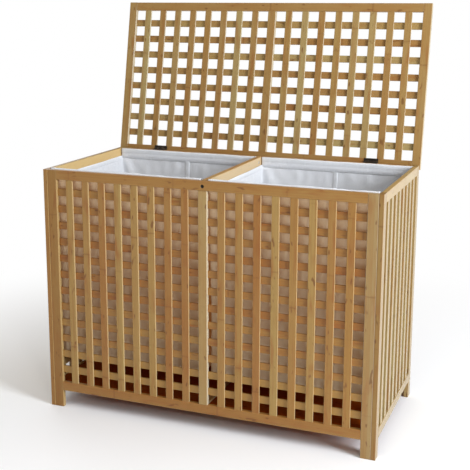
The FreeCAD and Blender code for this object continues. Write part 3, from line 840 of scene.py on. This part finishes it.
    def band(self, side):
        """The folded top edge of a side wall, from hem to hem."""
        x, inward = (self.x0, 1) if side == "low" else (self.x1, -1)
        top = self.side_top
        rng = random.Random(self.seed * 5 + len(side))
        phase = rng.uniform(0, 6.28)
        low = self.hem_low
        profile = [(0.0006, low - 0.006), (0.0009, low - 0.005), (0.0009, low), (0.0008, top - 0.0008),
                   (0.0003, top), (-0.0002, top - 0.0006), (-0.0003, low), (-0.0003, low - 0.004)]
        start, end = self.y0 + BAND_INSET, self.y1 - BAND_INSET
        points = []
        for i in range(BAND_STEPS + 1):
            y = start + (end - start) * i / BAND_STEPS
            share = i / BAND_STEPS
            sag = 0.0006 * math.sin(math.pi * share) * (1 + 0.4 * math.sin(43 * y + phase))
            pull = 0.0003 * math.sin(math.pi * share) * (1 + 0.6 * math.sin(29 * y + phase))
            for dx, z in profile:
                points.append((x + inward * (dx + pull), y, z - sag))
        faces = rows_of_quads(BAND_STEPS, len(profile), inward > 0)
        made = make_object(f"liner_{self.side}_band_{side}", points, faces, COTTON)
        thicken(made, TRIM_THICK)
        return made

    def stitches(self):
        """Rows of short thread stitches along the hems: two at the lower edge, one across the rod."""
        made = bmesh.new()
        for end, y_mid, inward in (("front", self.y0, 1), ("back", self.y1, -1)):
            inside = self.hem_profile(end)[:8]
            for rise in STITCH_ROWS:
                z = self.hem_low + rise
                below, above = next((a, b) for a, b in zip(inside, inside[1:]) if a[1] <= z <= b[1])
                share = (z - below[1]) / (above[1] - below[1])
                y = y_mid + inward * (below[0] + (above[0] - below[0]) * share + 0.0005)
                for i in range(int((self.x1 - self.x0 - 2 * STITCH_INSET) / STITCH_PITCH)):
                    x = self.x0 + STITCH_INSET + STITCH_PITCH * i
                    tuft(made, Vector((x, y, z)), Vector((STITCH_LENGTH, 0, 0)))
        mesh = bpy.data.meshes.new(f"liner_{self.side}_stitches")
        made.to_mesh(mesh)
        made.free()
        mesh.materials.append(THREAD)
        smooth(mesh)
        piece = bpy.data.objects.new(mesh.name, mesh)
        bpy.context.scene.collection.objects.link(piece)
        return piece


def tuft(made, start, along):
    """One stitch: a short thread that dips into the cloth at both ends."""
    rings = []
    side = Vector((0, 0, 1))
    out = along.normalized().cross(side)
    for share, swell, dip in STITCH_BULGE:
        centre = start + along * share - out * STITCH_RADIUS * dip
        ring = []
        for step in range(STITCH_SIDES):
            angle = 2 * math.pi * step / STITCH_SIDES
            offset = (side * math.cos(angle) + out * math.sin(angle)) * STITCH_RADIUS * swell
            ring.append(made.verts.new(centre + offset))
        rings.append(ring)
    for first, second in zip(rings, rings[1:]):
        for i in range(STITCH_SIDES):
            j = (i + 1) % STITCH_SIDES
            made.faces.new((first[i], first[j], second[j], second[i]))
    made.faces.new(rings[0][::-1])
    made.faces.new(rings[-1])


def make_liner(side, seed):
    """Makes one liner's pieces, attaches them to the case and hides its CAD solid."""
    liner = Liner(side, seed)
    liner.hang()
    liner.keep_inside()
    liner.back_folds()
    liner.finish()
    extras = [liner.hem("front"), liner.hem("back"), liner.band("low"), liner.band("high")]
    extras += [liner.seam("front"), liner.seam("back"), liner.stitches()]
    for piece in (liner.body, *extras):
        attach(piece, "case")
    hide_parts(f"liner_{side}")
    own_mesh(extras[0])


# ---------------------------------------------------------------- room
WHITE = (1.0, 1.0, 1.0)
FLOOR_DROP = 0.0004
FADE_NEAR, FADE_FAR = 0.45, 1.25


def floor_material():
    """Pale floor that fades into the white backdrop away from the chest."""
    g = Graph("pale_floor")
    place = g.node("TexCoord").outputs["Object"]
    grain = g.noise(place, 3.0, 2.0)
    far = g.node("VectorMath", place, operation="LENGTH").outputs["Value"]
    smooth_range = g.node("MapRange", far, FADE_NEAR, FADE_FAR, 0.0, 1.0, interpolation_type="SMOOTHSTEP")
    fade = smooth_range.outputs[0]
    pale = g.mix(grain, (0.94, 0.94, 0.94), (0.96, 0.96, 0.96))
    g.set(Base_Color=g.mix(fade, pale, (0.0, 0.0, 0.0)), Roughness=0.8, Specular_IOR_Level=0.0)
    g.set(Emission_Color=WHITE, Emission_Strength=fade)
    return g.material


def room():
    """The floor, and a world that the camera sees as white but that lights the chest softly."""
    bpy.ops.mesh.primitive_circle_add(
        vertices=64, radius=30, fill_type="NGON", location=(0, 0, -FLOOR_DROP))
    floor = bpy.context.object
    floor.name = "studio_floor"
    floor.data.materials.append(floor_material())
    world = bpy.data.worlds.new("studio")
    bpy.context.scene.world = world
    world.use_nodes = True
    tree = world.node_tree
    fill = tree.nodes["Background"]
    fill.inputs[0].default_value = (0.95, 0.975, 1.0, 1.0)
    fill.inputs[1].default_value = 0.18
    seen = tree.nodes.new("ShaderNodeBackground")
    seen.inputs[0].default_value = (1.0, 1.0, 1.0, 1.0)
    choose = tree.nodes.new("ShaderNodeMixShader")
    path = tree.nodes.new("ShaderNodeLightPath")
    tree.links.new(path.outputs["Is Camera Ray"], choose.inputs[0])
    tree.links.new(fill.outputs[0], choose.inputs[1])
    tree.links.new(seen.outputs[0], choose.inputs[2])
    tree.links.new(choose.outputs[0], tree.nodes["World Output"].inputs[0])


def aim(light, name, place, towards):
    """Puts a light in the scene, turned towards a point."""
    made = bpy.data.objects.new(name, light)
    made.location = place
    made.rotation_euler = (Vector(place) - Vector(towards)).to_track_quat("Z", "Y").to_euler()
    made.visible_camera = False
    bpy.context.scene.collection.objects.link(made)


def softbox(name, place, size, power, colour):
    """A rectangular area light that looks at the chest."""
    light = bpy.data.lights.new(name, "AREA")
    light.shape = "RECTANGLE"
    light.size, light.size_y = size
    light.energy = power
    light.color = colour
    aim(light, name, place, (0, 0, 0.35))


def lights():
    """A key from the right, weak lights from behind and in front, and a broad soft sun."""
    softbox("key", (2.50, -1.02, 1.20), (0.8, 1.3), 82, (0.97, 1.03, 1.11))
    softbox("fill", (-2.60, 2.40, 1.90), (1.6, 1.6), 16, (0.98, 0.99, 1.0))
    softbox("front", (2.10, -2.90, 1.75), (0.30, 0.30), 12, (1.0, 0.965, 0.91))
    above = bpy.data.lights.new("above", "SUN")
    above.energy = 1.42
    above.color = (1.0, 0.97, 0.93)
    above.angle = math.radians(80)
    aim(above, "above", (0.1, -0.1, 3.0), (0, 0, 0))


def camera():
    """The camera that was fitted to the chest's corners in the photograph."""
    data = bpy.data.cameras.new("camera")
    data.sensor_width = 36
    data.lens = 72.74
    data.shift_y = -0.075
    made = bpy.data.objects.new("camera", data)
    made.location = (0.7235, -1.9140, 0.8704)
    made.rotation_euler = (math.pi / 2 - 0.2020, -0.0034, 0.3679)
    bpy.context.scene.collection.objects.link(made)
    bpy.context.scene.camera = made


bpy.context.scene.view_settings.view_transform = "Standard"
dress_case()
dress_lid()
dress_metal()
make_liner("left", 3)
make_liner("right", 8)
room()
lights()
camera()
